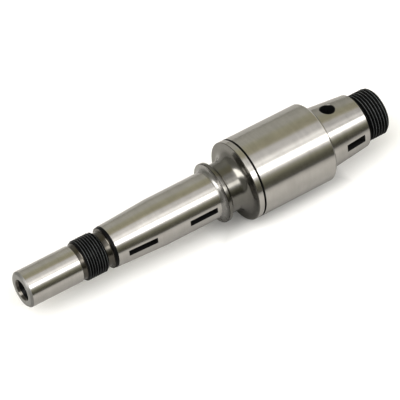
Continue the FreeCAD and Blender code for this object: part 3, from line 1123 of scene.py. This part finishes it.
    def make_room(self) -> None:
        """Sets the room's light, which changes round the shaft's axis and toward the nose."""
        world = bpy.data.worlds.new("room")
        bpy.context.scene.world = world
        sheet = NodeSheet(world)
        place = sheet.add("ShaderNodeTexCoord").outputs["Generated"]
        rise = sheet.along(place, self.table_normal())
        side = sheet.along(place, self.viewer_side())
        lean = sheet.along(place, UP)
        share = sheet.math("DIVIDE", sheet.math("ARCTAN2", rise, side), math.pi)
        gear = self.ramp(sheet, share, [(row.degrees, row.gear, row.tint) for row in ROOM_LIGHT])
        level = self.ramp(sheet, share, [(row.degrees, row.level, row.tint) for row in ROOM_LIGHT])
        crank = self.ramp(sheet, share, [(row.degrees, row.crank, row.tint) for row in ROOM_LIGHT])
        nose = self.ramp(sheet, share, NOSE_SIDE_LIGHT)
        light = self.mixed(sheet, sheet.span(lean, self.GEAR_TO_LEVEL), gear, level)
        light = self.mixed(sheet, sheet.span(lean, self.LEVEL_TO_CRANK), light, crank)
        light = self.mixed(sheet, sheet.span(lean, self.TO_NOSE_SIDE), light, nose)
        light = sheet.scaled(light, sheet.span(lean, self.CRANK_END_GAIN))
        room = sheet.put(sheet.add("ShaderNodeBackground"), Color=light, Strength=BRIGHTEST)
        white = sheet.put(sheet.add("ShaderNodeBackground"), Color=(1.0, 1.0, 1.0, 1.0))
        path = sheet.add("ShaderNodeLightPath")
        seen = sheet.add("ShaderNodeMixShader")
        sheet.put(seen, i0=path.outputs["Is Camera Ray"], i1=room.outputs[0], i2=white.outputs[0])
        sheet.put(sheet.add("ShaderNodeOutputWorld"), Surface=seen.outputs[0])

    @staticmethod
    def mixed(sheet: NodeSheet, share: bpy.types.NodeSocket, first: bpy.types.NodeSocket,
              second: bpy.types.NodeSocket) -> bpy.types.NodeSocket:
        """Mixes two colours, from the first at a share of 0 to the second at 1."""
        node = sheet.add("ShaderNodeMix", data_type="RGBA")
        return sheet.put(node, i0=share, i6=first, i7=second).outputs[2]

    @staticmethod
    def ramp(sheet: NodeSheet, share: bpy.types.NodeSocket,
             stops: list[tuple[float, float, tuple[float, float, float]]]) -> bpy.types.NodeSocket:
        """Adds a colour ramp.

        Args:
            sheet: the sheet to draw on.
            share: the place on the ramp, 0 at the viewer's side of the table and 1 across it.
            stops: degrees above the table, the light's strength there and its tint.

        Returns:
            The ramp's colour.
        """
        ramp = sheet.add("ShaderNodeValToRGB")
        sheet.put(ramp, Fac=share)
        elements = ramp.color_ramp.elements
        for index, (degrees, strength, tint) in enumerate(stops):
            stop = elements[index] if index < 2 else elements.new(degrees / 180.0)
            stop.position = degrees / 180.0
            stop.color = (*(part * strength / BRIGHTEST for part in tint), 1.0)
        return ramp.outputs["Color"]

    def make_camera(self, nose_top: float) -> None:
        """Sets the camera where the photographer stood.

        Args:
            nose_top: height of the nose's end face, mm.
        """
        azimuth, elevation = math.radians(self.azimuth), math.radians(self.elevation)
        roll = math.radians(self.roll)
        back = Vector((math.sin(azimuth) * math.cos(elevation),
                       -math.cos(azimuth) * math.cos(elevation), math.sin(elevation)))
        level = UP.cross(back).normalized()
        upright = back.cross(level)
        right = level * math.cos(roll) - upright * math.sin(roll)
        up = level * math.sin(roll) + upright * math.cos(roll)
        nose = Vector((0.0, 0.0, nose_top))
        place = nose - right * self.nose_right + up * self.nose_down + back * self.nose_ahead
        data = bpy.data.cameras.new("camera")
        data.lens = self.lens
        data.sensor_width = self.sensor
        data.clip_end = CLIP_END
        camera = bpy.data.objects.new("camera", data)
        bpy.context.scene.collection.objects.link(camera)
        camera.matrix_world = Matrix.Translation(place * MM) @ Matrix(
            (right, up, back)).transposed().to_4x4()
        bpy.context.scene.camera = camera

    def build(self, nose_top: float) -> None:
        """Sets up everything round the shaft.

        Args:
            nose_top: height of the nose's end face, mm.
        """
        bpy.context.scene.view_settings.view_transform = "Standard"
        self.make_table()
        self.make_room()
        self.make_camera(nose_top)


def main() -> None:
    """Builds the shaft and its studio, and reports each."""
    logging.basicConfig(level=logging.INFO)
    materials = {finish: spec.material(finish.value) for finish, spec in FINISHES.items()}
    log.info("%d finishes", len(materials))
    shaft_sizes = PinionShaft()
    shaft = shaft_sizes.build(materials)
    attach(shaft, "root")
    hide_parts(NODE)
    Studio().build(shaft_sizes.nose_top)
    log.info("studio ready")


if __name__ == "__main__":
    main()
